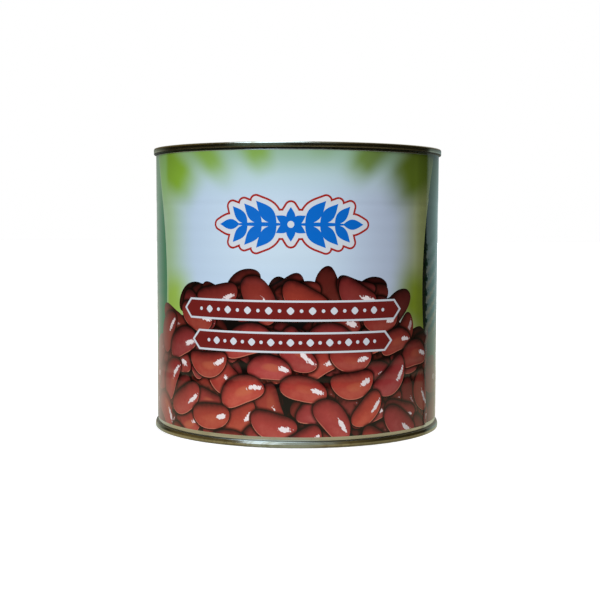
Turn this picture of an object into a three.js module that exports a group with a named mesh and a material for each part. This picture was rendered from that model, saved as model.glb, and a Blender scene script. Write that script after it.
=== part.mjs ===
// A sealed catering can of beans: a three-piece tinplate can with a wrapped paper label.
// Millimetres, +Z up. The origin is the centre of the base, and the label's front faces -Y.
import * as THREE from "three";

// Driving dimensions of the 2650 ml catering can
const CAN_HEIGHT = 151;
const SEAM_RADIUS = 78.5;
const BODY_RADIUS = 77;

// The double seam that joins an end to the body
const SEAM_HEIGHT = 3.1;
const SEAM_WIDTH = 2;
const SEAM_ROUND = 0.6;
const SEAM_STEPS = 3;

// The stamped end: the groove inside the seam, the panel and its expansion rings
const GROOVE_DEPTH = 5.2;
const GROOVE_WIDTH = 2.4;
const CHUCK_WALL_TAPER = 0.5;
const PANEL_DEPTH = 3.6;
const PANEL_SHOULDER = 0.9;
const RING_RADII = [61, 43];
const RING_WIDTH = 5;
const RING_HEIGHT = 0.8;
const RING_STEPS = 4;
const END_THICKNESS = 0.8;

// The end's plug sits in the mouth of the body, and the seam closes over the body's rim
const MOUTH_WALL = 0.35;
const FIT_GAP = 0.2;
const RIM_GAP = 0.3;

// The label: one strip wrapped round the body, its right end glued over its left end
const LABEL_BOTTOM = 5.6;
const LABEL_TOP = 147.4;
const PAPER = 0.15;
const LABEL_GAP = 0.1;
const LAP_EDGE_DEG = 62;
const LAP_WIDTH = 12;

// Every round piece shares these facets, so that the gaps between pieces stay even
const FACETS = 72;

const MOUTH_RADIUS = BODY_RADIUS - MOUTH_WALL;
const PLUG_RADIUS = MOUTH_RADIUS - FIT_GAP;
const PLUG_DEPTH = GROOVE_DEPTH + END_THICKNESS;

const tinplate = new THREE.MeshStandardMaterial({ color: 0x9a9788, roughness: 0.32, metalness: 1 });
const labelPaper = new THREE.MeshStandardMaterial({ color: 0xbdd2d6, roughness: 0.4, metalness: 0 });

// An arc of points about a centre, from one angle to another in degrees.
function arc(radius, depth, round, fromDeg, toDeg, steps) {
  return Array.from({ length: steps + 1 }, (_, i) => {
    const angle = THREE.MathUtils.degToRad(fromDeg + ((toDeg - fromDeg) * i) / steps);
    return new THREE.Vector2(radius + round * Math.cos(angle), depth + round * Math.sin(angle));
  });
}

// One expansion ring of the panel, from its outer foot to its inner foot.
function expansionRing(radius) {
  return Array.from({ length: RING_STEPS + 1 }, (_, i) => {
    const across = i / RING_STEPS;
    const rise = (1 - Math.cos(2 * Math.PI * across)) / 2;
    return new THREE.Vector2(radius + RING_WIDTH * (0.5 - across), PANEL_DEPTH - RING_HEIGHT * rise);
  });
}

// The section of an end, from the axis inside the can, round the seam, to the axis outside it.
// x is the radius, and y is the depth below the seam's outer edge.
function endSection() {
  const seamInside = SEAM_RADIUS - SEAM_WIDTH;
  const grooveOutside = seamInside - CHUCK_WALL_TAPER;
  const grooveInside = grooveOutside - GROOVE_WIDTH;
  return [
    new THREE.Vector2(0, PLUG_DEPTH),
    new THREE.Vector2(PLUG_RADIUS, PLUG_DEPTH),
    new THREE.Vector2(PLUG_RADIUS, SEAM_HEIGHT),
    ...arc(SEAM_RADIUS - SEAM_ROUND, SEAM_HEIGHT - SEAM_ROUND, SEAM_ROUND, 90, 0, SEAM_STEPS),
    ...arc(SEAM_RADIUS - SEAM_ROUND, SEAM_ROUND, SEAM_ROUND, 0, -90, SEAM_STEPS),
    ...arc(seamInside + SEAM_ROUND, SEAM_ROUND, SEAM_ROUND, -90, -180, SEAM_STEPS),
    ...arc((grooveOutside + grooveInside) / 2, GROOVE_DEPTH - GROOVE_WIDTH / 2, GROOVE_WIDTH / 2, 0, 180, 5),
    new THREE.Vector2(grooveInside - PANEL_SHOULDER / 4, PANEL_DEPTH + PANEL_SHOULDER / 4),
    new THREE.Vector2(grooveInside - PANEL_SHOULDER, PANEL_DEPTH),
    ...RING_RADII.flatMap(expansionRing),
    new THREE.Vector2(0, PANEL_DEPTH),
  ];
}

// The section of the body: a filled cylinder with a mouth at each end for the end's plug.
function bodySection() {
  const rim = SEAM_HEIGHT + RIM_GAP;
  const floor = PLUG_DEPTH + FIT_GAP;
  const lowerHalf = [
    new THREE.Vector2(0, floor),
    new THREE.Vector2(MOUTH_RADIUS, floor),
    new THREE.Vector2(MOUTH_RADIUS, rim),
    new THREE.Vector2(BODY_RADIUS, rim),
  ];
  const upperHalf = lowerHalf.map((p) => new THREE.Vector2(p.x, CAN_HEIGHT - p.y)).reverse();
  return [...lowerHalf, ...upperHalf];
}

// Revolves a section about the can's axis. The section runs up the outside of the piece.
function revolve(name, section, material) {
  const geometry = new THREE.LatheGeometry(section, FACETS);
  geometry.rotateX(Math.PI / 2);
  const mesh = new THREE.Mesh(geometry, material);
  mesh.name = name;
  return mesh;
}

// A point at an angle from the front, positive towards +X.
function aroundCan(radius, degrees) {
  const angle = THREE.MathUtils.degToRad(degrees);
  return new THREE.Vector2(radius * Math.sin(angle), -radius * Math.cos(angle));
}

// The label as a sleeve, one paper thick, and two where its end is glued over its start.
function labelSleeve() {
  const inside = BODY_RADIUS + LABEL_GAP;
  const facet = 360 / FACETS;
  const lapStart = LAP_EDGE_DEG - THREE.MathUtils.radToDeg(LAP_WIDTH / inside);
  const facetAngles = Array.from({ length: FACETS }, (_, i) => i * facet);
  const inLap = (degrees) => degrees > lapStart && degrees < LAP_EDGE_DEG;
  const single = inside + PAPER;
  const double = single + PAPER;

  const outline = facetAngles.map((d) => ({ d, radius: inLap(d) ? double : single }));
  for (const d of [lapStart, LAP_EDGE_DEG]) {
    outline.push({ d: d - 0.02, radius: d === lapStart ? single : double });
    outline.push({ d: d + 0.02, radius: d === lapStart ? double : single });
  }
  outline.sort((a, b) => a.d - b.d);

  const shape = new THREE.Shape(outline.map(({ d, radius }) => aroundCan(radius, d)));
  shape.holes.push(new THREE.Path(facetAngles.map((d) => aroundCan(inside, d))));
  const geometry = new THREE.ExtrudeGeometry(shape, {
    depth: LABEL_TOP - LABEL_BOTTOM,
    bevelEnabled: false,
  });
  const mesh = new THREE.Mesh(geometry, labelPaper);
  mesh.name = "label";
  mesh.position.z = LABEL_BOTTOM;
  return mesh;
}

const can = new THREE.Group();
can.add(revolve("can_body", bodySection(), tinplate));
can.add(revolve("bottom_end", endSection().reverse(), tinplate));
can.add(
  revolve(
    "top_end",
    endSection().map((p) => new THREE.Vector2(p.x, CAN_HEIGHT - p.y)),
    tinplate,
  ),
);
can.add(labelSleeve());

export default can;
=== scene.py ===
"""The looks of a sealed catering can of beans: a printed paper label round a tinplate can."""

import math
import random

import bpy
import numpy as np
from mathutils import Matrix, Vector
from mathutils.geometry import delaunay_2d_cdt


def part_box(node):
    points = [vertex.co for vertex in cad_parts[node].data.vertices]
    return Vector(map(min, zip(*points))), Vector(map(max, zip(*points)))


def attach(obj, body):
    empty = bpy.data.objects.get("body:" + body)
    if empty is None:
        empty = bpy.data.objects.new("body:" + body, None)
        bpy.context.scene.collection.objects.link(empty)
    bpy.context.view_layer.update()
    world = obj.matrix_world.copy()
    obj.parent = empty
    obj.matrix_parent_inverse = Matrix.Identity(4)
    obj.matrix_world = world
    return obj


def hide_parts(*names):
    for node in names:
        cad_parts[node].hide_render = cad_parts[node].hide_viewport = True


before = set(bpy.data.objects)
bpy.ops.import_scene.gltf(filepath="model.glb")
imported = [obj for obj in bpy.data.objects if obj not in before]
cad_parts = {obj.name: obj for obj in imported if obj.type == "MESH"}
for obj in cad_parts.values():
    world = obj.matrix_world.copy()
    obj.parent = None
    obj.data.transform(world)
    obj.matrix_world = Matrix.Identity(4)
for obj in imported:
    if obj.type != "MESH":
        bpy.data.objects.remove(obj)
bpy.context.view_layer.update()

# Lengths are in millimetres, and angles round the can are in degrees from its front.
MM = 0.001
CAN_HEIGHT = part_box("top_end")[1][2] / MM
SEAM_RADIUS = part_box("top_end")[1][0] / MM
BODY_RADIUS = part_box("can_body")[1][0] / MM
LABEL_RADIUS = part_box("label")[1][0] / MM
LABEL_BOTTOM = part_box("label")[0][2] / MM
LABEL_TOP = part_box("label")[1][2] / MM
DEGREE = LABEL_RADIUS * math.pi / 180

# The stamped ends, with the CAD model's main sizes
SEAM_HEIGHT = 3.1
SEAM_WIDTH = 2
SEAM_ROUND = 0.6
SEAM_INNER_ROUND = 0.7
GROOVE_DEPTH = 5.2
GROOVE_WIDTH = 2.4
CHUCK_WALL_TAPER = 0.5
PANEL_DEPTH = 3.6
PANEL_SHOULDER = 0.9
PANEL_SHOULDER_DROP = 0.6
RING_RADII = (61, 43)
RING_WIDTH = 5
RING_HEIGHT = 0.8
PLUG_RADIUS = 76.4
PLUG_DEPTH = 6
PLUG_CHAMFER = (0.4, 0.3)
HOOK_DEPTH = 3.36
HOOK_CHAMFER = (0.1, 0.09)
HOOK_REACH = 0.1
SEAM_EDGE_INSET = 0.16
SEAM_EDGE_ROUND = (0.1, 0.12)
SEAM_CROWN = 0.05
CHUCK_WALL_POINT = (0.2, 2.2)

# Points down each seam's outer face, as distances inside the seam's radius and depths below its rim
TOP_SEAM_FACE = ((0.053, 2.7), (0.004, 2.05), (0, 1.95), (0, 0.95))
BOTTOM_SEAM_FACE = ((0.4, 2.95), (0.02, 1.81), (0, 1.75), (0.008, 1.35), (0.03, 0.95), (0.09, 0.6))

# The body's mouths, in which the ends' plugs sit
MOUTH_WALL = 0.35
FIT_GAP = 0.2
RIM_GAP = 0.3
FACETS = 288

# The label is one strip. Its right end is glued over its left end, to the right of the front.
LAP_WIDTH = 12
STRIP_END = 62 * DEGREE
STRIP_START = STRIP_END - 360 * DEGREE - LAP_WIDTH
STRIP_MIDDLE = (STRIP_START + STRIP_END) / 2
PAPER = 0.22
SKEW = 0.7

# The can's beads show faintly through the label. They start and end over these heights.
BEADS_LOWER_END = (30.5, 33)
BEADS_UPPER_END = (121, 123.5)
BEAD_PLACE = 32
BEAD_PITCH = 7.5
BEADS_DIP = 0.08
BEAD_HEIGHT = 0.04
WAVE_HEIGHT = 0.015

# The paper climbs over its lap in a slope, and is creased beside it for part of the can's height.
LAP_SLOPE = 5
CREASE_FADE = (12, 20)
CREASES_LOWER_END = (48, 60)
CREASES_UPPER_END = (92, 112)
CREASE_PITCH = 8
CREASE_HEIGHT = 0.3

# The label's mesh: its grid, the steps along its lines, how near points are joined, and its map
GRID_COLUMNS = 143
GRID_ROWS = 73
BORDER_STEP = 2.5
HEAP_STEP = 2
LINE_STEP = 2.2
MERGE = 0.01
PRINT_SHARE = 0.85

# The print has the same picture on the front and on the back, with a green panel between.
FRONT_MIDDLE = -2.35 * DEGREE
PICTURE_STEP = 180 * DEGREE
PANEL_NARROWEST = 59.85
PANEL_CURVE = 8.6
PANEL_WAIST = 80
PANEL_REACH = 60
SKY_MIDDLE = 105
SKY_REACH = (85, 44)

# The soft green beams about a point in the picture's middle. Each has a direction, the angles at
# which it starts to fade and is gone, the distances at which it starts and is full, and a strength.
BEAM_MIDDLE = 100
GREEN_BEAMS = (
    (-158, 3, 16, 52, 76, 0.9),
    (-20, 3, 17, 52, 78, 1.0),
    (28, 4, 15, 51, 77, 1.0),
    (48, 2, 13, 39, 57, 0.9),
    (73, 1, 11, 40, 53, 0.3),
    (110, 2, 13, 34, 50, 0.85),
    (135, 1, 11, 39, 62, 0.88),
    (152, 3, 13, 52, 76, 1.0),
)

# The heap of beans: the height of its top at angles from the picture's middle, and its layers' light
HEAP_DEGREES = (-90, -76, -66, -54, -40, -22, 0, 14, 28, 42, 52, 60, 67, 76, 90)
HEAP_TOPS = (29, 40, 58, 73, 82, 88, 92, 89, 88, 78, 67, 60, 47, 38, 31)
LAYER_LIGHT = (0.26, 0.54, 0.85, 1.0)
LAYER_TRIES = 5000
SIDE_MARGIN = 8
FOOT_MARGIN = 6
TOP_MARGIN = 8
BEAN_RINGS = ((1, 36), (0.9, 24), (0.7, 16), (0.4, 8))
BEAN_REACH = 16
BEAN_ROOM = 0.8
ROOM_POINTS = 14
SHADOW_REACH = 6
GAP_DEPTH = 13

# Two kinds of bean, as display colours from the darkest side to the lightest
RED_BEAN = ((32, 11, 12), (102, 33, 29), (158, 56, 46), (184, 70, 55), (208, 100, 76))
PLUM_BEAN = ((30, 11, 14), (92, 28, 30), (146, 50, 51), (170, 64, 65), (192, 94, 92))


class Value:
    """A value that varies over a surface. A sum on it adds a Math node to its tree."""

    def __init__(self, nodes, socket):
        self.nodes = nodes
        self.socket = socket

    def maths(self, operation, *others):
        return self.nodes.maths(operation, self, *others)

    def __add__(self, other):
        return self.nodes.maths("ADD", self, other)

    def __radd__(self, other):
        return self.nodes.maths("ADD", other, self)

    def __sub__(self, other):
        return self.nodes.maths("SUBTRACT", self, other)

    def __rsub__(self, other):
        return self.nodes.maths("SUBTRACT", other, self)

    def __mul__(self, other):
        return self.nodes.maths("MULTIPLY", self, other)

    def __rmul__(self, other):
        return self.nodes.maths("MULTIPLY", other, self)

    def __truediv__(self, other):
        return self.nodes.maths("DIVIDE", self, other)

    def __rtruediv__(self, other):
        return self.nodes.maths("DIVIDE", other, self)

    def __abs__(self):
        return self.nodes.maths("ABSOLUTE", self)

    def ease(self, low, high):
        """Rises smoothly from 0 at low to 1 at high, or falls if low is the greater."""
        inputs = {"Value": self, "From Min": low, "From Max": high}
        return self.nodes.node("ShaderNodeMapRange", {"interpolation_type": "SMOOTHSTEP"}, inputs)


class Nodes:
    """A tree of shader nodes, which all come from one method."""

    def __init__(self, tree):
        self.tree = tree

    def put(self, socket, value):
        if isinstance(value, Value):
            self.tree.links.new(value.socket, socket)
        elif isinstance(value, tuple) and len(socket.default_value) == 4:
            socket.default_value = (*value, 1)
        else:
            socket.default_value = value

    def node(self, kind, settings, inputs, out=0):
        made = self.tree.nodes.new(kind)
        for name, setting in settings.items():
            if name == "stops":
                self.set_stops(made.color_ramp, setting)
            else:
                setattr(made, name, setting)
        for key, value in inputs.items():
            self.put(made.inputs[key], value)
        return Value(self, made.outputs[out])

    def set_stops(self, ramp, stops):
        while len(ramp.elements) < len(stops):
            ramp.elements.new(1)
        for element, (position, colour) in zip(ramp.elements, stops):
            element.position = position
            element.color = (*colour, 1)

    def maths(self, operation, *terms):
        return self.node("ShaderNodeMath", {"operation": operation}, dict(enumerate(terms)))

    def split(self, vector):
        parts = self.node("ShaderNodeSeparateXYZ", {}, {0: vector})
        return [Value(self, socket) for socket in parts.socket.node.outputs]

    def join(self, x, y, z):
        return self.node("ShaderNodeCombineXYZ", {}, {0: x, 1: y, 2: z})

    def mix(self, first, second, share):
        settings = {"data_type": "RGBA", "clamp_factor": True}
        return self.node("ShaderNodeMix", settings, {0: share, 6: first, 7: second}, out=2)


class Finish(Nodes):
    """A material on the Principled shader."""

    def __init__(self, name):
        self.material = bpy.data.materials.new(name)
        self.material.use_nodes = True
        super().__init__(self.material.node_tree)
        self.shader = self.tree.nodes["Principled BSDF"]

    def shade(self, **sockets):
        for name, value in sockets.items():
            self.put(self.shader.inputs[name.replace("_", " ")], value)
        return self.material

    def mesh_value(self, name, out="Vector"):
        return self.node("ShaderNodeAttribute", {"attribute_name": name}, {}, out)

    def tinted(self, colour, amount):
        """A colour made lighter or darker by a value."""
        settings = {"operation": "SCALE"}
        return self.node("ShaderNodeVectorMath", settings, {0: colour, "Scale": amount})

    def ramp(self, value, colours):
        """Display colours at even steps of a value from 0 to 1."""
        stops = [(i / (len(colours) - 1), rgb(*colour)) for i, colour in enumerate(colours)]
        return self.node("ShaderNodeValToRGB", {"stops": stops}, {0: value})

    def cloud(self, vector, scale, detail=3.0, roughness=0.55):
        inputs = {"Vector": vector, "Scale": scale, "Detail": detail, "Roughness": roughness}
        return self.node("ShaderNodeTexNoise", {}, inputs)

    def bump(self, height, strength, distance):
        inputs = {"Height": height, "Strength": strength, "Distance": distance}
        return self.node("ShaderNodeBump", {}, inputs)


def rgb(red, green, blue):
    """A display colour of 0 to 255 as the linear colour that shaders use."""
    parts = [channel / 255 for channel in (red, green, blue)]
    return tuple(c / 12.92 if c <= 0.04045 else ((c + 0.055) / 1.055) ** 2.4 for c in parts)


def ease(value, low, high):
    t = np.clip((value - low) / (high - low), 0, 1)
    return t * t * (3 - 2 * t)


def add_piece(name, mesh, node, slot, *materials):
    """Makes a mesh a piece of the can, in place of a CAD node."""
    piece = bpy.data.objects.new(name, mesh)
    bpy.context.scene.collection.objects.link(piece)
    for material in materials:
        mesh.materials.append(material)
    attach(piece, "root")
    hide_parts(node)


# The picture: a heap of beans under a pale sky, between two green panels


def picture_index(x):
    return np.round((x - FRONT_MIDDLE) / PICTURE_STEP)


def from_picture_middle(x):
    return x - FRONT_MIDDLE - picture_index(x) * PICTURE_STEP


def heap_top(x):
    return np.interp(from_picture_middle(x) / DEGREE, HEAP_DEGREES, HEAP_TOPS)


def picture_half_width(z):
    """Half the width of the pale picture, which is narrowest at its waist."""
    return (PANEL_NARROWEST + PANEL_CURVE * ((z - PANEL_WAIST) / PANEL_REACH) ** 2) * DEGREE


class Bean:
    """One printed bean: a bent oval with a place, a size, a lean and a tone."""

    POWER = 2.6
    LEAN = 32
    STEEP_SHARE = 0.2
    STEEPEST = 85
    HALF_LENGTHS = (10.8, 13.6)
    WIDTH_SHARES = (0.52, 0.6)
    BEND_SHARES = (0.12, 0.62)
    TAPERS = (-0.1, 0.1)
    LIGHTS = (0.84, 1.12)
    SHADED_DEPTH = 7
    LIT_DEPTH = 45

    def __init__(self, draw, x, z, layer):
        self.x = x
        self.z = z
        self.angle = math.radians(draw.gauss(0, self.LEAN))
        if draw.random() < self.STEEP_SHARE:
            self.angle = math.radians(draw.uniform(-self.STEEPEST, self.STEEPEST))
        self.cos = math.cos(self.angle)
        self.sin = math.sin(self.angle)
        self.half_length = draw.uniform(*self.HALF_LENGTHS)
        self.half_width = self.half_length * draw.uniform(*self.WIDTH_SHARES)
        self.bend = self.half_width * draw.uniform(*self.BEND_SHARES) * draw.choice((-1, 1))
        self.taper = draw.uniform(*self.TAPERS)
        depth = float(heap_top(x)) - z
        in_light = (depth - self.SHADED_DEPTH) / (self.LIT_DEPTH - self.SHADED_DEPTH)
        self.light = draw.uniform(*self.LIGHTS) * LAYER_LIGHT[layer]
        self.light *= 0.5 + 0.5 * min(1, max(0, in_light))
        self.warmth = draw.uniform(0, 1)

    def spine(self, along):
        return self.bend * (along * along - 0.4)

    def grid(self, x, z):
        """How far along and across the bean places on the label are, as shares of its half sizes."""
        dx = x - self.x
        dz = z - self.z
        along = (dx * self.cos + dz * self.sin) / self.half_length
        held = np.clip(along, -1.2, 1.2)
        across = (dz * self.cos - dx * self.sin - self.spine(held)) / self.half_width
        return along, across / (1 + self.taper * held)

    def covers(self, x, z):
        along, across = self.grid(x, z)
        return np.abs(along) ** self.POWER + across * across < 1

    def ring(self, scale, count):
        """Points round the bean at a share of its size."""
        turn = np.arange(count) * 2 * math.pi / count
        along = np.cos(turn) * scale
        across = np.sign(np.sin(turn)) * np.sqrt(1 - np.abs(np.cos(turn)) ** self.POWER) * scale
        p = along * self.half_length
        q = self.spine(along) + across * self.half_width * (1 + self.taper * along)
        x = self.x + p * self.cos - q * self.sin
        z = self.z + p * self.sin + q * self.cos
        return np.column_stack((x, z))

    def crowds(self, other, own):
        """Whether the bean, with points of its own, and another lie too far over each other."""
        theirs = other.ring(BEAN_ROOM, ROOM_POINTS)
        return other.covers(*own.T).any() or self.covers(*theirs.T).any()

    def near(self, x, z, margin):
        reach = self.half_length + margin + abs(self.bend)
        return (np.abs(x - self.x) < reach) & (np.abs(z - self.z) < reach)

    def distance(self, x, z):
        """How far places are outside the bean's edge."""
        ring = self.ring(1, 40)
        step = np.roll(ring, -1, axis=0) - ring
        dx = x[:, None] - ring[:, 0]
        dz = z[:, None] - ring[:, 1]
        share = np.clip((dx * step[:, 0] + dz * step[:, 1]) / (step * step).sum(axis=1), 0, 1)
        away = np.hypot(dx - share * step[:, 0], dz - share * step[:, 1]).min(axis=1)
        return np.where(self.covers(x, z), 0, away)


def scatter_beans():
    """Beans in layers over the whole heap, the layer behind first."""
    draw = random.Random(41)
    beans = []
    for layer in range(len(LAYER_LIGHT)):
        placed = []
        for _ in range(LAYER_TRIES):
            x = draw.uniform(STRIP_START - SIDE_MARGIN, STRIP_END + SIDE_MARGIN)
            z = draw.uniform(LABEL_BOTTOM - FOOT_MARGIN, max(HEAP_TOPS))
            bean = Bean(draw, x, z, layer)
            if z > heap_top(x) - TOP_MARGIN:
                continue
            own = bean.ring(BEAN_ROOM, ROOM_POINTS)
            neighbours = [other for other in placed if bean.near(other.x, other.z, BEAN_REACH)]
            if not any(bean.crowds(other, own) for other in neighbours):
                placed.append(bean)
        beans += sorted(placed, key=lambda bean: -bean.z)
    return beans


# Plain printed shapes that lie over the picture: a sprig of leaves and two ribbons

PRINT_WHITE = rgb(226, 234, 244)
SPRIG_BLUE = rgb(14, 114, 218)
SPRIG_RED = rgb(176, 46, 40)
SPRIG_HEIGHT = 111
SPRIG_MARGINS = (3.3, 2.3)
ROSETTE_LEAF = (8.5, 4.4)
ROSETTE_EYE = 1.7
STEM = (32, 2)
END_LEAF = (11, 5)
END_LEAF_FOOT = 26
SIDE_LEAVES = 3
SIDE_LEAF_FOOT = 7
SIDE_LEAF_STEP = 7.4
SIDE_LEAF_LENGTH = 15.5
SIDE_LEAF_LOSS = 1.8
SIDE_LEAF_SHAPE = 0.43
SIDE_LEAF_LEAN = 48

# Each ribbon's height on the can and half its length, and the marks along it
RIBBON_RED = rgb(122, 34, 32)
RIBBONS = ((68.5, 60), (52.8, 54))
RIBBON_HALF_HEIGHT = 4.2
RIBBON_POINT = 0.9
RIBBON_BORDER = 1.0
RIBBON_END_BORDER = 1.5
MARKS_PER_SIDE = 9
LARGE_MARK = (1.9, 1.4)
SMALL_MARK = (0.9, 2)


def oval(x, z, radius, power, count):
    """A closed outline between a diamond, at power 1, and a circle, at power 2."""
    turn = np.arange(count) * 2 * math.pi / count
    p = radius * np.sign(np.cos(turn)) * np.abs(np.cos(turn)) ** (2 / power)
    q = radius * np.sign(np.sin(turn)) * np.abs(np.sin(turn)) ** (2 / power)
    return np.column_stack((x + p, z + q))


def ribbon(x, z, half_wide, half_high):
    """A straight ribbon whose ends are cut to points."""
    point = half_high * RIBBON_POINT
    right = [(half_wide - point, -half_high), (half_wide, 0), (half_wide - point, half_high)]
    left = [(-px, -pz) for px, pz in right]
    return np.array([(x + px, z + pz) for px, pz in right + left])


def leaf(x, z, length, width, tilt):
    """A leaf with two pointed ends, growing from a point."""
    t = np.linspace(0, 1, 15)
    side = width / 2 * np.sin(math.pi * t) * (1.25 - 0.5 * t)
    p = np.concatenate((t, t[-2:0:-1])) * length
    q = np.concatenate((side, -side[-2:0:-1]))
    c = math.cos(math.radians(tilt))
    s = math.sin(math.radians(tilt))
    return np.column_stack((x + p * c - q * s, z + p * s + q * c))


def grown(outline, margin):
    """A rounded-out outline moved outwards all round by a margin."""
    count = 64
    turn = np.arange(count) * 2 * math.pi / count
    ways = np.column_stack((np.cos(turn), np.sin(turn)))
    return outline[np.argmax(outline @ ways.T, axis=0)] + margin * ways


def sprig(x, z):
    """The outlines of a flat sprig of leaves, alike to the left and the right of a rosette."""
    outlines = [leaf(x, z, *ROSETTE_LEAF, turn) for turn in range(30, 360, 60)]
    for side, turn in ((1, 0), (-1, 180)):
        outlines.append(leaf(x, z, *STEM, turn))
        outlines.append(leaf(x + side * END_LEAF_FOOT, z, *END_LEAF, turn))
        for step in range(SIDE_LEAVES):
            length = SIDE_LEAF_LENGTH - SIDE_LEAF_LOSS * step
            foot = x + side * (SIDE_LEAF_FOOT + SIDE_LEAF_STEP * step)
            for lean in (-SIDE_LEAF_LEAN, SIDE_LEAF_LEAN):
                outlines.append(leaf(foot, z, length, SIDE_LEAF_SHAPE * length, turn + side * lean))
    return outlines


def printed_shapes():
    """The outlines and colours of the plain shapes, the lowest first."""
    shapes = []
    for index in (0, -1):
        x = FRONT_MIDDLE + index * PICTURE_STEP
        leaves = sprig(x, SPRIG_HEIGHT)
        for margin, colour in zip(SPRIG_MARGINS, (SPRIG_RED, PRINT_WHITE)):
            shapes += [(grown(outline, margin), colour) for outline in leaves]
        shapes += [(outline, SPRIG_BLUE) for outline in leaves]
        shapes.append((oval(x, SPRIG_HEIGHT, ROSETTE_EYE, 2, 24), PRINT_WHITE))
        for z, half_wide in RIBBONS:
            border = ribbon(x, z, half_wide + RIBBON_END_BORDER, RIBBON_HALF_HEIGHT + RIBBON_BORDER)
            shapes.append((border, PRINT_WHITE))
            shapes.append((ribbon(x, z, half_wide, RIBBON_HALF_HEIGHT), RIBBON_RED))
            for step in range(-MARKS_PER_SIDE, MARKS_PER_SIDE + 1):
                radius, power = LARGE_MARK if step % 2 == 0 else SMALL_MARK
                mark = oval(x + step * half_wide / (MARKS_PER_SIDE + 2), z, radius, power, 16)
                shapes.append((mark, PRINT_WHITE))
    return shapes


def inside(outline, x, z):
    """Which places are inside a closed outline."""
    found = np.zeros(len(x), bool)
    for (x0, z0), (x1, z1) in zip(outline, np.roll(outline, -1, axis=0)):
        if z0 != z1:
            crosses = (z0 > z) != (z1 > z)
            found ^= crosses & (x < x0 + (z - z0) * (x1 - x0) / (z1 - z0))
    return found


# The label's mesh, whose triangles follow every printed outline


class Drawing:
    """Points and lines on the unrolled label, for its triangles to follow."""

    def __init__(self):
        self.points = []
        self.lines = []

    def add_points(self, points):
        first = len(self.points)
        self.points.extend((float(x), float(z)) for x, z in points)
        return first

    def add_line(self, points, closed=False, keep=None):
        """Adds a line in steps short enough to follow the can. keep says which points to draw."""
        points = np.asarray(points, float)
        first = self.add_points(points)
        count = len(points)
        for i in range(count if closed else count - 1):
            j = (i + 1) % count
            if keep is not None and not (keep[i] or keep[j]):
                continue
            pieces = math.ceil(math.dist(points[i], points[j]) / LINE_STEP)
            shares = np.arange(1, pieces)[:, None] / pieces
            between = self.add_points(points[i] + (points[j] - points[i]) * shares)
            chain = [first + i, *range(between, len(self.points)), first + j]
            self.lines.extend(zip(chain, chain[1:]))


def on_label(points, margin):
    x, z = points[:, 0], points[:, 1]
    across = (x > STRIP_START - margin) & (x < STRIP_END + margin)
    return across & (z > LABEL_BOTTOM - margin) & (z < LABEL_TOP + margin)


def draw_beans(drawing, beans):
    """Draws each bean's edge where no bean lies over it, with points on rings inside it."""
    for number, bean in enumerate(beans):
        over = [other for other in beans[number + 1 :] if bean.near(other.x, other.z, BEAN_REACH)]
        for scale, count in BEAN_RINGS:
            ring = bean.ring(scale, count)
            seen = on_label(ring, 3)
            for other in over:
                seen &= ~other.covers(ring[:, 0], ring[:, 1])
            if scale == 1:
                drawing.add_line(ring, closed=True, keep=seen)
            else:
                drawing.add_points(ring[seen])


def draw_label(beans, shapes):
    """Draws the label's edges, its grid and every printed outline."""
    drawing = Drawing()
    columns = np.linspace(STRIP_START, STRIP_END, GRID_COLUMNS)
    rows = np.linspace(LABEL_BOTTOM, LABEL_TOP, GRID_ROWS)
    for x in (STRIP_START, STRIP_MIDDLE, STRIP_END):
        drawing.add_line([(x, z) for z in rows])
    for z in (LABEL_BOTTOM, LABEL_TOP):
        drawing.add_line([(x, z) for x in columns])
    for x in columns[1:-1]:
        drawing.add_points([(x, z) for z in rows[1:-1]])

    heights = np.arange(LABEL_BOTTOM - 2, LABEL_TOP + 4, BORDER_STEP)
    for index in (-2, -1, 0, 1):
        for side in (-1, 1):
            x = FRONT_MIDDLE + index * PICTURE_STEP + side * picture_half_width(heights)
            border = np.column_stack((x, heights))
            drawing.add_line(border, keep=on_label(border, 1))

    steps = np.arange(STRIP_START - 2, STRIP_END + 2, HEAP_STEP)
    gap_top = np.column_stack((steps, heap_top(steps) - GAP_DEPTH))
    drawing.add_line(gap_top, keep=on_label(gap_top, 1))
    draw_beans(drawing, beans)
    for outline, _ in shapes:
        drawing.add_line(outline, closed=True)
    return drawing


def label_triangles(drawing):
    """The unrolled label as points and triangles that follow every line of a drawing."""
    points = [Vector(point) for point in drawing.points]
    made = delaunay_2d_cdt(points, drawing.lines, [], 0, MERGE)
    flat = np.array([tuple(point) for point in made[0]])
    triangles = np.array([face for face in made[2] if len(face) == 3])
    middles = flat[triangles].mean(axis=1)
    triangles = triangles[on_label(middles, 0)]
    used, triangles = np.unique(triangles, return_inverse=True)
    return flat[used], triangles.reshape(-1, 3)


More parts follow.
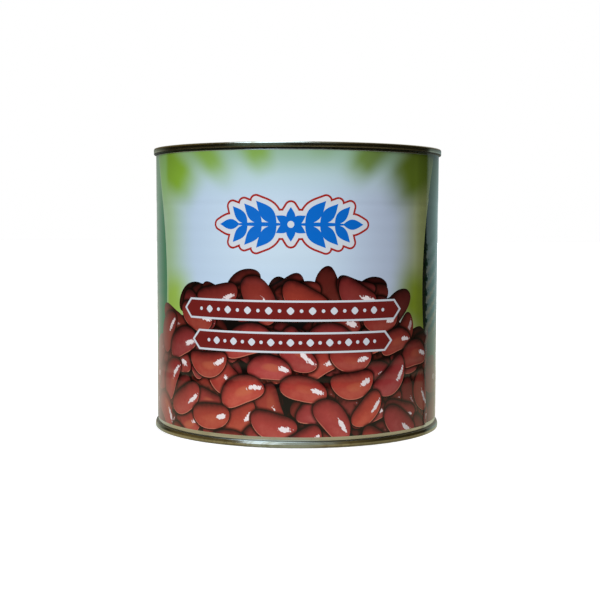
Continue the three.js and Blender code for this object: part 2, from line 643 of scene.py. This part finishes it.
def label_radius(x, z):
    """The label's distance from the axis: the can's beads show through, and it creases by its lap."""
    beaded = ease(z, *BEADS_LOWER_END) * (1 - ease(z, *BEADS_UPPER_END))
    ripple = 0.5 + 0.5 * np.cos((z - BEAD_PLACE) * 2 * math.pi / BEAD_PITCH)
    waves = np.sin(x / 9.7 + 1.4 * np.sin(z / 15.3)) * np.sin(z / 11.9 + 1.1 * np.sin(x / 21.7))
    radius = LABEL_RADIUS - beaded * (BEADS_DIP + BEAD_HEIGHT * ripple) + WAVE_HEIGHT * waves
    over_lap = ease(x, STRIP_END - LAP_WIDTH - LAP_SLOPE, STRIP_END - LAP_WIDTH)
    from_lap = np.where(x > STRIP_MIDDLE, x - STRIP_END, x - STRIP_START - LAP_WIDTH)
    creased = ease(from_lap, -LAP_SLOPE, 0) * (1 - ease(from_lap, *CREASE_FADE))
    creased = creased * ease(z, *CREASES_LOWER_END) * (1 - ease(z, *CREASES_UPPER_END))
    slant = 0.5 + 0.5 * np.sin(z * 2 * math.pi / CREASE_PITCH - from_lap / 3 + 0.8 * np.sin(z / 11))
    return radius + PAPER * over_lap + CREASE_HEIGHT * creased * slant


def wrapped(x, z, inward=0.0):
    """Places on the unrolled label as points round the can, in metres. The strip is a little askew."""
    turn = x / LABEL_RADIUS
    radius = label_radius(x, z) - inward
    height = z - SKEW * (x - STRIP_MIDDLE) / (STRIP_END - STRIP_START)
    return np.column_stack((radius * np.sin(turn), -radius * np.cos(turn), height)) * MM


def outward(x, z):
    """The label's normals."""
    step = 0.05
    turn = x / LABEL_RADIUS
    slope_x = (label_radius(x + step, z) - label_radius(x - step, z)) / (2 * step)
    slope_z = (label_radius(x, z + step) - label_radius(x, z - step)) / (2 * step)
    sin, cos = np.sin(turn), np.cos(turn)
    normal = np.column_stack((sin - slope_x * cos, -cos - slope_x * sin, -slope_z))
    return normal / np.linalg.norm(normal, axis=1)[:, None]


def place_values(x, z):
    """Each corner's place from its picture's middle and the can's foot, and its depth in a panel."""
    shift = FRONT_MIDDLE + picture_index(x.mean(axis=1)) * PICTURE_STEP
    across = x - shift[:, None]
    return np.stack((across, z, np.abs(across) - picture_half_width(z)), axis=2)


def bean_values(flat, triangles, beans):
    """Each corner's place on its bean and that bean's lean, its tone, and the gap to beans over it."""
    corner_x = flat[triangles, 0]
    corner_z = flat[triangles, 1]
    middle_x = corner_x.mean(axis=1)
    middle_z = corner_z.mean(axis=1)
    count = len(triangles)
    form = np.zeros((count, 3, 3))
    tone = np.zeros((count, 3, 3))
    gap = np.full((count, 3, 1), float(SHADOW_REACH))

    owner = np.full(count, -1)
    for number, bean in enumerate(beans):
        near = np.flatnonzero(bean.near(middle_x, middle_z, 2))
        owner[near[bean.covers(middle_x[near], middle_z[near])]] = number

    # A tone ends with 1 on a bean, a half in the dark between beans and 0 outside the heap.
    between = (owner < 0) & (middle_z < heap_top(middle_x) - GAP_DEPTH)
    tone[between, :, 2] = 0.5
    for number, bean in enumerate(beans):
        mine = np.flatnonzero(owner == number)
        along, across = bean.grid(corner_x[mine], corner_z[mine])
        form[mine] = np.stack((along, across, np.full_like(along, bean.angle)), axis=2)
        tone[mine] = (bean.light, bean.warmth, 1)

    # A bean shades what lies below it in the heap.
    in_heap = tone[:, 0, 2] > 0
    for number, bean in enumerate(beans):
        close = np.flatnonzero(bean.near(*flat.T, SHADOW_REACH))
        away = np.full(len(flat), float(SHADOW_REACH))
        away[close] = np.minimum(bean.distance(*flat[close].T), SHADOW_REACH)
        below = in_heap & (owner < number) & bean.near(middle_x, middle_z, SHADOW_REACH)
        gap[below, :, 0] = np.minimum(gap[below, :, 0], away[triangles[below]])
    return form, tone, gap


def ink_values(x, z, shapes):
    """The colour of the highest plain shape over each corner, by its triangle's middle, or nothing."""
    middle_x = x.mean(axis=1)
    middle_z = z.mean(axis=1)
    ink = np.zeros((len(x), 3, 4))
    for outline, colour in shapes:
        low = outline.min(axis=0)
        high = outline.max(axis=0)
        near = (middle_x > low[0]) & (middle_x < high[0]) & (middle_z > low[1]) & (middle_z < high[1])
        near = np.flatnonzero(near)
        ink[near[inside(outline, middle_x[near], middle_z[near])]] = (*colour, 1)
    return ink


def print_values(flat, triangles, beans, shapes):
    """What is printed at each triangle's corners, as values for the label's material."""
    x = flat[triangles, 0]
    z = flat[triangles, 1]
    form, tone, gap = bean_values(flat, triangles, beans)
    return {
        "print_place": place_values(x, z),
        "bean_form": form,
        "bean_tone": tone,
        "bean_gap": gap,
        "flat_ink": ink_values(x, z, shapes),
    }


def inner_triangles(flat, rim):
    """Triangles between the points of the label's rim: a fan at each end and a zigzag between."""

    def chain(axis, place):
        """The points at one place across (0) or up (1) the label, in order."""
        found = [p for p in rim if abs(flat[p, axis] - place) < 2 * MERGE]
        return sorted(found, key=lambda p: flat[p, 1 - axis])

    left = chain(0, STRIP_START)
    right = chain(0, STRIP_END)
    low = chain(1, LABEL_BOTTOM)
    high = chain(1, LABEL_TOP)
    inner = [(low[1], a, b) for a, b in zip(left, left[1:])]
    inner.append((low[1], high[0], high[1]))
    i = j = 1
    while i < len(low) - 2 or j < len(high) - 2:
        low_next = i < len(low) - 2
        if low_next and j < len(high) - 2:
            low_next = flat[low[i + 1], 0] <= flat[high[j + 1], 0]
        if low_next:
            inner.append((low[i + 1], low[i], high[j]))
            i += 1
        else:
            inner.append((low[i], high[j], high[j + 1]))
            j += 1
    inner.append((low[-2], high[-2], high[-1]))
    return inner + [(low[-2], b, a) for a, b in zip(right, right[1:])]


def label_back(flat, triangles):
    """The label's cut edges and its inside, as triangles on new points behind its rim."""
    edges = np.concatenate([triangles[:, (0, 1)], triangles[:, (1, 2)], triangles[:, (2, 0)]])
    known = {(int(a), int(b)) for a, b in edges}
    rim_edges = sorted((a, b) for a, b in known if (b, a) not in known)
    rim = sorted({a for a, _ in rim_edges})
    behind = {point: len(flat) + i for i, point in enumerate(rim)}
    faces = []
    for a, b in rim_edges:
        faces.append((b, a, behind[a]))
        faces.append((b, behind[a], behind[b]))
    faces += [tuple(behind[p] for p in face) for face in inner_triangles(flat, rim)]
    return flat[rim], np.array(faces)


def set_corners(mesh, name, values):
    """Keeps one to four values for each corner of the mesh under a name."""
    kinds = {1: ("FLOAT", "value"), 3: ("FLOAT_VECTOR", "vector"), 4: ("FLOAT_COLOR", "color")}
    kind, field = kinds[values.shape[2]]
    attribute = mesh.attributes.new(name, kind, "CORNER")
    attribute.data.foreach_set(field, values.astype(np.float32).ravel())


def label_map(flat, triangles, back_count):
    """Where corners lie on a texture: the print in two rows, the back's faces in cells beside it."""
    scale = PRINT_SHARE / (STRIP_END - STRIP_MIDDLE)
    corner_x = flat[triangles, 0]
    right = corner_x.mean(axis=1) > STRIP_MIDDLE
    across = corner_x - np.where(right, STRIP_MIDDLE, STRIP_START)[:, None]
    front = np.stack((across, flat[triangles, 1] - LABEL_BOTTOM), axis=2) * scale
    front[right, :, 1] += 0.5

    columns = math.ceil(math.sqrt(back_count * (1 - PRINT_SHARE))) + 1
    cell = (1 - PRINT_SHARE) / (columns + 1)
    number = np.arange(back_count)
    corner = np.stack((PRINT_SHARE + (number % columns + 1) * cell, number // columns * cell), axis=1)
    triangle = np.array([(0, 0), (0.8, 0), (0, 0.8)]) * cell
    return np.concatenate((front, corner[:, None] + triangle))


def make_label():
    """The label as one mesh, printed outside and bare at its edges and inside."""
    beans = scatter_beans()
    shapes = printed_shapes()
    flat, triangles = label_triangles(draw_label(beans, shapes))
    rim, back = label_back(flat, triangles)
    points = np.concatenate((wrapped(*flat.T), wrapped(*rim.T, inward=PAPER)))
    faces = np.concatenate((triangles, back))
    mesh = bpy.data.meshes.new("label_print")
    mesh.from_pydata(points, [], faces.tolist())
    for name, value in print_values(flat, triangles, beans, shapes).items():
        blank = np.zeros((len(back), 3, value.shape[2]))
        set_corners(mesh, name, np.concatenate((value, blank)))
    in_back = np.zeros(len(faces), np.int32)
    in_back[len(triangles) :] = 1
    mesh.polygons.foreach_set("material_index", in_back)
    texture_map = label_map(flat, triangles, len(back))
    mesh.uv_layers.new(name="OFBake").uv.foreach_set("vector", texture_map.astype(np.float32).ravel())
    mesh.shade_smooth()
    normals = np.zeros((len(faces), 3, 3))
    normals[: len(triangles)] = outward(*flat.T)[triangles]
    mesh.normals_split_custom_set(normals.reshape(-1, 3).tolist())
    mesh.update()
    add_piece("label_print", mesh, "label", "label_paper", label_finish(), paper_finish())


# The finishes. On the label, places are from the picture's middle and the can's foot.


def sky_print(finish, place, to_right):
    """A sky that turns pale green towards its edges, with stronger greens in beams about its middle."""
    across, up, _ = finish.split(place)
    far = abs(across)
    drift = finish.cloud(place, 0.045, 2.0) - 0.5
    wide = far / SKY_REACH[0]
    high = (up - SKY_MIDDLE) / SKY_REACH[1]
    cubed = wide * wide * wide + abs(high * high * high)
    reach = cubed.maths("POWER", 1 / 3) + drift * 0.1
    sky = finish.mix(rgb(206, 230, 254), rgb(216, 238, 255), reach.ease(0.7, 0.1))
    sky = finish.mix(sky, rgb(202, 218, 242), across.ease(10, 50))
    sky = finish.mix(sky, rgb(192, 224, 218), up.ease(120, 147))
    sky = finish.mix(sky, rgb(160, 206, 162), up.ease(134, 152) * 0.75)
    mint = finish.mix(rgb(186, 222, 174), rgb(174, 184, 122), to_right)
    sky = finish.mix(sky, mint, far.ease(52, 80))

    rise = up - BEAM_MIDDLE
    turn = rise.maths("ARCTAN2", across) * (180 / math.pi)
    distance = (across * across + rise * rise).maths("SQRT") + drift * 8
    green = 0
    for direction, core, edge, start, full, strength in GREEN_BEAMS:
        beam = abs(turn - direction).ease(edge, core) * distance.ease(start, full) * strength
        green = green + beam - green * beam
    upper_green = finish.mix(rgb(146, 192, 64), rgb(106, 128, 42), to_right)
    lower_green = finish.mix(rgb(170, 210, 72), rgb(136, 158, 44), to_right)
    leaf_green = finish.mix(lower_green, upper_green, up.ease(90, 115))
    sky = finish.mix(sky, leaf_green, green)

    pale_strip = (across + 80).ease(3, -3) + (across - 86).ease(0.2, 0.8)
    pale_left = finish.mix(rgb(190, 224, 184), rgb(160, 212, 120), up.ease(112, 136))
    sky = finish.mix(sky, finish.mix(pale_left, rgb(140, 160, 92), to_right), pale_strip)
    # Painted shade: the sky darkens towards the label's top, under the seam's overhang.
    return finish.tinted(sky, 1 - up.ease(132, 148) * 0.17)


def panel_print(finish, picture, place, beside, to_right):
    """Green panels, deeper by the picture's right edge, with a fine pale line along them."""
    across, up, _ = finish.split(place)
    far = abs(across)
    pale = finish.mix(rgb(206, 230, 196), rgb(176, 192, 120), to_right)
    picture = finish.mix(picture, pale, beside.ease(-1.0, -0.4) * up.ease(60, 110) * 0.6)
    green = finish.mix(rgb(74, 141, 97), rgb(2, 20, 7), to_right)
    green = finish.mix(green, rgb(96, 160, 128), (far - to_right * 4).ease(77, 106))
    top_green = finish.mix(rgb(156, 196, 142), rgb(100, 128, 62), to_right)
    top_green = finish.mix(top_green, rgb(128, 162, 102), far.ease(96, 118))
    green = finish.mix(green, top_green, up.ease(112, 147) * 0.7)
    return finish.mix(picture, green, beside.ease(-0.05, 0.05))


def heap_print(finish, picture, place, to_right):
    """Beans lit from low in front as round forms, with a ragged highlight towards their right ends."""
    across, up, _ = finish.split(place)
    along, aside, angle = finish.split(finish.mesh_value("bean_form"))
    light, warmth, is_bean = finish.split(finish.mesh_value("bean_tone"))
    chance = (warmth * 7.31).maths("FRACT")
    cos = angle.maths("COSINE")
    sin = angle.maths("SINE")

    # The way that the bean's surface faces: to the right, up and out of the label
    length = abs(along)
    tip = along.maths("SIGN") * length.maths("POWER", Bean.POWER - 1) * 0.73
    crown = (1 - length.maths("POWER", Bean.POWER) - aside * aside).maths("MAXIMUM", 0)
    slope = (tip * tip + aside * aside + crown).maths("SQRT")
    right = (tip * cos - aside * sin) / slope
    rise = (tip * sin + aside * cos) / slope
    facing = crown.maths("SQRT") / slope

    mottle = finish.cloud(place, 0.3, 4.0, 0.6)
    lit = 0.26 + facing * 0.5 - rise * 0.36 + right * 0.1 + (mottle - 0.5) * 0.3
    red = finish.ramp(lit, RED_BEAN)
    plum = finish.ramp(lit, PLUM_BEAN)
    shade = finish.mesh_value("bean_gap", "Fac").ease(0.0, 2.0) * 0.95 + 0.05
    bright = light * shade
    skin = finish.tinted(finish.mix(red, plum, warmth), bright)

    # A soft glow, the highlight in it and a paler lower edge
    shine_along = along - cos * 0.32 - 0.18 - chance * 0.16
    shine_aside = aside + sin * 0.45 - chance * 0.3 + 0.18
    glow_along = (shine_along + 0.5) / 0.55
    glow_aside = (shine_aside + 0.1) / 0.42
    glow = (glow_along * glow_along + glow_aside * glow_aside).ease(1.0, 0.0) * chance.ease(0.2, 0.9)
    skin = finish.mix(skin, rgb(214, 122, 84), glow * bright.ease(0.5, 1.0) * 0.5)
    steep = abs(sin)
    shine_along = shine_along / (0.23 + steep * 0.16)
    shine_aside = shine_aside / (0.21 - steep * 0.05)
    spread = shine_along * shine_along + shine_aside * shine_aside
    ragged = finish.cloud(finish.join(across + up * 0.5, up * 0.6, 0.0), 1.0, 2.0) - 0.5
    shine = (spread + ragged * 4.0).ease(1.1, 0.75) * bright.ease(0.35, 0.6)
    skin = finish.mix(skin, rgb(255, 244, 246), shine)
    rim_light = facing.ease(0.42, 0.28) * rise.ease(-0.2, -0.7) * bright.ease(0.5, 0.8)
    skin = finish.mix(skin, rgb(210, 126, 104), rim_light * 0.8)

    # The dark between the beans, and painted reflection paling the heap towards the picture's sides
    heap = finish.mix(rgb(11, 6, 7), skin, is_bean.ease(0.7, 0.8))
    painted_sheen = (abs(across) - to_right * 12).ease(68, 100) * 0.62
    heap = finish.mix(heap, rgb(204, 148, 130), painted_sheen)
    return finish.mix(picture, heap, is_bean.ease(0.2, 0.3))


def label_finish():
    """Satin paper printed with a pale sky, soft leaf greens, glossy beans and green panels."""
    finish = Finish("label_print")
    across, up, beside = finish.split(finish.mesh_value("print_place"))
    place = finish.join(across, up, 0.0)
    to_right = across.ease(-10, 62)
    colour = sky_print(finish, place, to_right)
    colour = panel_print(finish, colour, place, beside, to_right)
    colour = heap_print(finish, colour, place, to_right)
    ink = finish.mesh_value("flat_ink", "Color")
    colour = finish.mix(colour, ink, finish.mesh_value("flat_ink", "Alpha"))
    # Painted highlight: a pale line just under the top edge, the paper's cut edge as if catching the
    # light.
    painted_edge_light = up.ease(LABEL_TOP - 0.3, LABEL_TOP - 0.2)
    colour = finish.mix(colour, rgb(210, 218, 208), painted_edge_light * 0.5)
    fibre = finish.cloud(place, 1.7, 4.0, 0.7)
    return finish.shade(
        Base_Color=colour,
        Specular_IOR_Level=0.4,
        Roughness=0.05 + fibre * 0.05,
        Normal=finish.bump(fibre, 0.03, 0.2 * MM),
    )


def paper_finish():
    """The bare paper at the label's cut edges and inside."""
    finish = Finish("bare_paper")
    place = finish.node("ShaderNodeTexCoord", {}, {}, "Object")
    fibre = finish.cloud(place, 900.0, 4.0, 0.7)
    colour = finish.mix(rgb(120, 126, 112), rgb(150, 154, 142), fibre)
    return finish.shade(Base_Color=colour, Roughness=0.75)


def tinplate_finish(name, light_tone, dark_tone, rolled):
    """Tinplate with grain lines, a few dull patches and painted shade where the seams meet the body."""
    finish = Finish(name)
    place = finish.node("ShaderNodeTexCoord", {}, {}, "Object")
    x, y, z = finish.split(place)
    radius = (x * x + y * y).maths("SQRT")
    if rolled:
        along_grain = finish.join(x * 14, y * 900, z * 60)
    else:
        along_grain = finish.join(x * 16, z * 1400, radius * 900)
    grain = finish.cloud(along_grain, 1.0, 4.0, 0.65)
    patches = finish.cloud(place, 55.0, 3.0)
    darker = grain.ease(0.45, 0.75) * 0.6 + patches.ease(0.45, 0.75) * 0.3
    colour = finish.mix(light_tone, dark_tone, darker)
    # Painted shade: a dark line where the top seam overhangs the body, and a fainter one over the bottom
    # seam.
    under_top_seam = abs(z / MM - (CAN_HEIGHT - SEAM_HEIGHT)).ease(0.6, 0.3)
    over_bottom_seam = abs(z / MM - (SEAM_HEIGHT + 0.1)).ease(0.35, 0.2)
    outside = (radius / MM).ease(BODY_RADIUS - 0.4, BODY_RADIUS - 0.1)
    painted_seam_shade = (under_top_seam + over_bottom_seam * 0.48) * outside
    colour = finish.mix(colour, rgb(14, 13, 8), painted_seam_shade)
    return finish.shade(
        Base_Color=colour,
        Metallic=1.0,
        Roughness=0.12 + grain * 0.1 + patches.ease(0.5, 0.8) * 0.06 + painted_seam_shade * 0.3,
        Normal=finish.bump(grain, 0.05, 0.2 * MM),
    )


# The tinplate body and its two seamed ends


def held(points):
    """A line's points, with more near each end of its steps, so that every step shades flat."""
    line = [points[0]]
    for (a, b), (c, d) in zip(points, points[1:]):
        line += [(a + (c - a) * share, b + (d - b) * share) for share in (0.06, 0.94, 1)]
    return line


def arc(centre, size, from_deg, to_deg, steps):
    """Points along part of an ellipse, as radius and depth."""
    turn = np.radians(np.linspace(from_deg, to_deg, steps + 1))
    return [(centre[0] + size[0] * math.cos(t), centre[1] + size[1] * math.sin(t)) for t in turn]


def expansion_ring(radius):
    """One raised ring of an end's panel, from its outer foot to its inner foot."""
    across = np.linspace(0, 1, 17)
    rise = (1 - np.cos(2 * math.pi * across)) / 2
    return list(zip(radius + RING_WIDTH * (0.5 - across), PANEL_DEPTH - RING_HEIGHT * rise))


def end_section(seam_face):
    """An end's section as radius and depth below its rim, from the axis inside to the axis outside."""
    seam_inside = SEAM_RADIUS - SEAM_WIDTH
    groove_outside = seam_inside - CHUCK_WALL_TAPER
    groove_inside = groove_outside - GROOVE_WIDTH
    panel_edge = groove_inside - PANEL_SHOULDER
    groove_round = GROOVE_WIDTH / 2

    # The plug, the hook over the body's rim and the seam's outer face
    section = [(radius, PLUG_DEPTH) for radius in (0, 20, 50, PLUG_RADIUS - PLUG_CHAMFER[0])]
    section += [(PLUG_RADIUS, PLUG_DEPTH - PLUG_CHAMFER[1]), (PLUG_RADIUS, HOOK_DEPTH + HOOK_CHAMFER[1])]
    section += [(PLUG_RADIUS + HOOK_CHAMFER[0], HOOK_DEPTH), (BODY_RADIUS + HOOK_REACH, HOOK_DEPTH)]
    edge = (SEAM_RADIUS - seam_face[0][0] - SEAM_EDGE_INSET, SEAM_HEIGHT - SEAM_EDGE_ROUND[1])
    section += arc(edge, SEAM_EDGE_ROUND, 70, 20, 3)
    section += [(SEAM_RADIUS - inset, depth) for inset, depth in held(seam_face)]

    # The seam's rounded rim, the chuck wall and the groove
    last_inset, last_depth = seam_face[-1]
    lean = math.degrees(math.atan2(last_inset - seam_face[-2][0], seam_face[-2][1] - last_depth))
    drop = last_depth - SEAM_CROWN
    section += arc((SEAM_RADIUS - last_inset - SEAM_ROUND, drop), (SEAM_ROUND, drop), -lean, -90, 10)
    inner_round = (SEAM_INNER_ROUND, SEAM_INNER_ROUND)
    section += arc((seam_inside + SEAM_INNER_ROUND, SEAM_INNER_ROUND), inner_round, -90, -180, 8)
    section += [(seam_inside - CHUCK_WALL_POINT[0], CHUCK_WALL_POINT[1])]
    groove_middle = (groove_outside - groove_round, GROOVE_DEPTH - groove_round)
    section += arc(groove_middle, (groove_round, groove_round), 0, 180, 12)

    # The panel and its expansion rings
    shoulder = (PANEL_SHOULDER, PANEL_SHOULDER_DROP)
    section += arc((panel_edge, PANEL_DEPTH + PANEL_SHOULDER_DROP), shoulder, 0, -90, 6)
    outer = panel_edge
    for ring in RING_RADII:
        section += [(r, PANEL_DEPTH) for r in np.linspace(outer, ring + RING_WIDTH / 2, 5)[1:-1]]
        section += expansion_ring(ring)
        outer = ring - RING_WIDTH / 2
    return section + [(r, PANEL_DEPTH) for r in (30, 20, 10, 4, 0)]


def body_section():
    """The body's section, from the axis below to the axis above."""
    rim = SEAM_HEIGHT + RIM_GAP
    floor = PLUG_DEPTH + FIT_GAP
    mouth = BODY_RADIUS - MOUTH_WALL
    lower = [(0, floor), (40, floor), (mouth, floor), (mouth, rim), (BODY_RADIUS - 0.05, rim - 0.05)]
    lower += [(BODY_RADIUS, height) for height in (rim + 0.1, rim + 0.6, rim + 2.2, 20)]
    upper = [(r, CAN_HEIGHT - z) for r, z in reversed(lower)]
    return lower + upper


def revolve(name, section):
    """A closed mesh turned about the can's axis from a section that runs up its outside."""
    turn = np.arange(FACETS) * 2 * math.pi / FACETS
    points = []
    rings = []
    for radius, z in section:
        first = len(points)
        if radius < 1e-6:
            points.append((0, 0, z * MM))
            rings.append([first] * FACETS)
        else:
            height = np.full(FACETS, z)
            ring = np.column_stack((radius * np.sin(turn), -radius * np.cos(turn), height)) * MM
            points.extend(map(tuple, ring))
            rings.append(range(first, first + FACETS))
    faces = []
    for low, high in zip(rings, rings[1:]):
        for i in range(FACETS):
            j = (i + 1) % FACETS
            faces.append(list(dict.fromkeys((low[i], low[j], high[j], high[i]))))
    mesh = bpy.data.meshes.new(name)
    mesh.from_pydata(points, [], faces)
    mesh.shade_smooth()
    mesh.update()
    return mesh


def make_tin():
    """The two lacquered ends and the bright body."""
    end_finish = tinplate_finish("lacquered_tinplate", rgb(182, 174, 148), rgb(136, 122, 84), True)
    body_finish = tinplate_finish("bright_tinplate", rgb(226, 224, 214), rgb(176, 166, 134), False)
    top = revolve("top_end_seamed", [(r, CAN_HEIGHT - depth) for r, depth in end_section(TOP_SEAM_FACE)])
    bottom = revolve("bottom_end_seamed", list(reversed(end_section(BOTTOM_SEAM_FACE))))
    body = revolve("body_wall", body_section())
    add_piece("top_end_seamed", top, "top_end", "tinplate", end_finish)
    add_piece("bottom_end_seamed", bottom, "bottom_end", "tinplate", end_finish)
    add_piece("body_wall", body, "can_body", "tinplate", body_finish)


# The studio, whose colours are linear light

FILL = (0.1, 0.1, 0.1)
WHITE = (1, 1, 1)
NEAR_TABLE = (0.16, 0.15, 0.1)
TABLE = (0.5, 0.46, 0.31)
TABLE_SHINE = (0.5, 0.6, 0.6)
HORIZON = (0.07, 0.063, 0.04)
ROOM = (0.01, 0.01, 0.006)
ROOM_FRONT = (0.12, 0.2, 0.2)
WALL_LEFT = (0.18, 0.145, 0.07)
WALL_RIGHT = (0.05, 0.042, 0.02)
WALL_FRONT = (0.55, 0.7, 0.85)
GLINT = (1.6, 2.05, 2.95)
CEILING = (0.3, 0.3, 0.3)
BACK_LIGHT = (0.62, 0.64, 0.62)
WINDOW = (4.2, 5.9, 9.2)
LEFT_SCREEN = (0.44, 0.5, 0.44)
LEFT_SCREEN_FOOT = (0.6, 0.58, 0.5)
RIGHT_SCREEN = (0.36, 0.48, 0.5)
RIGHT_SCREEN_FOOT = (0.5, 0.52, 0.4)
SCREEN_FRAME = (0.005, 0.007, 0.005)

FLOOR_REACH = 6000
FLOOR_TONE = (0.9, 0.9, 0.9)
FLOOR_GLOW = 0.45
KEY_WAY = (0.226, 0.787, -0.574)
KEY_STRENGTH = 2.85
BACK_FILL_WAY = (-0.3, -0.7, -0.65)
BACK_FILL_STRENGTH = 2.4
SUN_WIDTH = 30

# The camera that fits the can's outline in the photograph
CAMERA_PLACE = (0, -664.5, 111.9)
CAMERA_DIP = 5.15
CAMERA_ROLL = 0.218
CAMERA_LENS = 71.82
CAMERA_SENSOR = 36
CAMERA_SHIFT = (0.0052, 0.05)


def make_world(scene):
    """A studio to reflect: a dim room, a pale table, a window, and screens and a light behind."""
    world = bpy.data.worlds.new("studio")
    world.use_nodes = True
    scene.world = world
    nodes = Nodes(world.node_tree)
    way = nodes.node("ShaderNodeTexCoord", {}, {}, "Generated")
    x, y, height = nodes.split(way)
    from_back = x.maths("ARCTAN2", y) * (180 / math.pi)

    def towards(*other):
        """How near a direction is to a given one, up to 1."""
        return nodes.node("ShaderNodeVectorMath", {"operation": "DOT_PRODUCT"}, {0: way, 1: other}, 1)

    # The table, the room above it and the walls up to the ceiling
    table = nodes.mix(NEAR_TABLE, TABLE, height.ease(-0.5, -0.36))
    shine = towards(-0.2, -0.93, -0.29).ease(0.82, 0.95) * height.ease(-0.2, -0.25)
    table = nodes.mix(table, TABLE_SHINE, shine)
    shaded = height.ease(-0.17, -0.22) * x.ease(0.5, 0.9)
    table = nodes.mix(table, NEAR_TABLE, shaded * 0.6)
    colour = nodes.mix(table, HORIZON, height.ease(-0.15, -0.11))
    room = nodes.mix(ROOM, ROOM_FRONT, towards(-0.5, -0.86, 0.06).ease(0.88, 0.985))
    colour = nodes.mix(colour, room, height.ease(-0.05, -0.01))
    wall = nodes.mix(WALL_LEFT, WALL_RIGHT, towards(0.87, 0.28, 0.4).ease(0.5, 0.85))
    wall = nodes.mix(wall, WALL_FRONT, towards(-0.08, -0.91, 0.4).ease(0.74, 0.99))
    wall = nodes.mix(wall, GLINT, towards(-0.43, -0.81, 0.4).ease(0.955, 0.982))
    above_foot = height + y.ease(-0.7, 0.3) * 0.14
    colour = nodes.mix(colour, wall, above_foot.ease(0.23, 0.3) * height.ease(0.65, 0.55))
    colour = nodes.mix(colour, CEILING, height.ease(0.6, 0.9))
    colour = nodes.mix(colour, BACK_LIGHT, towards(0.1, 0.63, 0.77).ease(0.62, 0.9))
    colour = nodes.mix(colour, WINDOW, towards(-0.26, -0.39, 0.883).ease(0.905, 0.95))

    # A low screen behind the can on each side, the right one in a dark frame
    low = height.ease(0.12, 0.0)
    on_left = from_back.ease(-62, -25) * from_back.ease(5, -5) * low
    foot = height.ease(-0.04, -0.08) * height.ease(-0.166, -0.145)
    screen = nodes.mix(LEFT_SCREEN, LEFT_SCREEN_FOOT, foot)
    colour = nodes.mix(colour, screen, on_left)
    on_right = from_back.ease(-5, 5) * low
    colour = nodes.mix(colour, SCREEN_FRAME, from_back.ease(56, 55) * on_right)
    screen = nodes.mix(RIGHT_SCREEN_FOOT, RIGHT_SCREEN, height.ease(-0.13, -0.03))
    colour = nodes.mix(colour, screen, from_back.ease(53.5, 52) * on_right)

    # Only reflections show the studio. Other light is an even fill, and the backdrop is white.
    colour = nodes.mix(FILL, colour, nodes.node("ShaderNodeLightPath", {}, {}, "Is Glossy Ray"))
    colour = nodes.mix(colour, WHITE, nodes.node("ShaderNodeLightPath", {}, {}, "Is Camera Ray"))
    nodes.put(world.node_tree.nodes["Background"].inputs["Color"], colour)


def add_sun(scene, name, way, strength):
    """A broad soft light that shines along a direction and doesn't show in reflections."""
    sun = bpy.data.lights.new(name, "SUN")
    sun.energy = strength
    sun.angle = math.radians(SUN_WIDTH)
    lamp = bpy.data.objects.new(name, sun)
    lamp.rotation_euler = Vector(way).to_track_quat("-Z", "Y").to_euler()
    lamp.visible_glossy = False
    scene.collection.objects.link(lamp)


def make_floor(scene):
    """A plain pale floor, which doesn't light the can or show in it."""
    far = FLOOR_REACH * MM
    corners = [(-far, -far, 0), (far, -far, 0), (far, far, 0), (-far, far, 0)]
    mesh = bpy.data.meshes.new("floor")
    mesh.from_pydata(corners, [], [(0, 1, 2, 3)])
    floor = bpy.data.objects.new("floor", mesh)
    scene.collection.objects.link(floor)
    finish = Finish("pale_floor")
    finish.shade(Base_Color=FLOOR_TONE, Roughness=0.8)
    mesh.materials.append(finish.shade(Emission_Color=WHITE, Emission_Strength=FLOOR_GLOW))
    floor.visible_diffuse = False
    floor.visible_glossy = False


def make_camera(scene):
    """The camera at the photograph's angle."""
    camera = bpy.data.cameras.new("camera")
    camera.lens = CAMERA_LENS
    camera.sensor_width = CAMERA_SENSOR
    camera.shift_x, camera.shift_y = CAMERA_SHIFT
    view = bpy.data.objects.new("camera", camera)
    pitch = Matrix.Rotation(math.radians(90 - CAMERA_DIP), 4, "X")
    roll = Matrix.Rotation(math.radians(CAMERA_ROLL), 4, "Z")
    view.matrix_world = Matrix.Translation(Vector(CAMERA_PLACE) * MM) @ pitch @ roll
    scene.collection.objects.link(view)
    scene.camera = view


def make_stage():
    """The floor, the studio, its lights and the camera."""
    scene = bpy.context.scene
    scene.view_settings.view_transform = "Standard"
    make_floor(scene)
    make_world(scene)
    add_sun(scene, "key", KEY_WAY, KEY_STRENGTH)
    add_sun(scene, "back_fill", BACK_FILL_WAY, BACK_FILL_STRENGTH)
    make_camera(scene)


make_label()
make_tin()
make_stage()
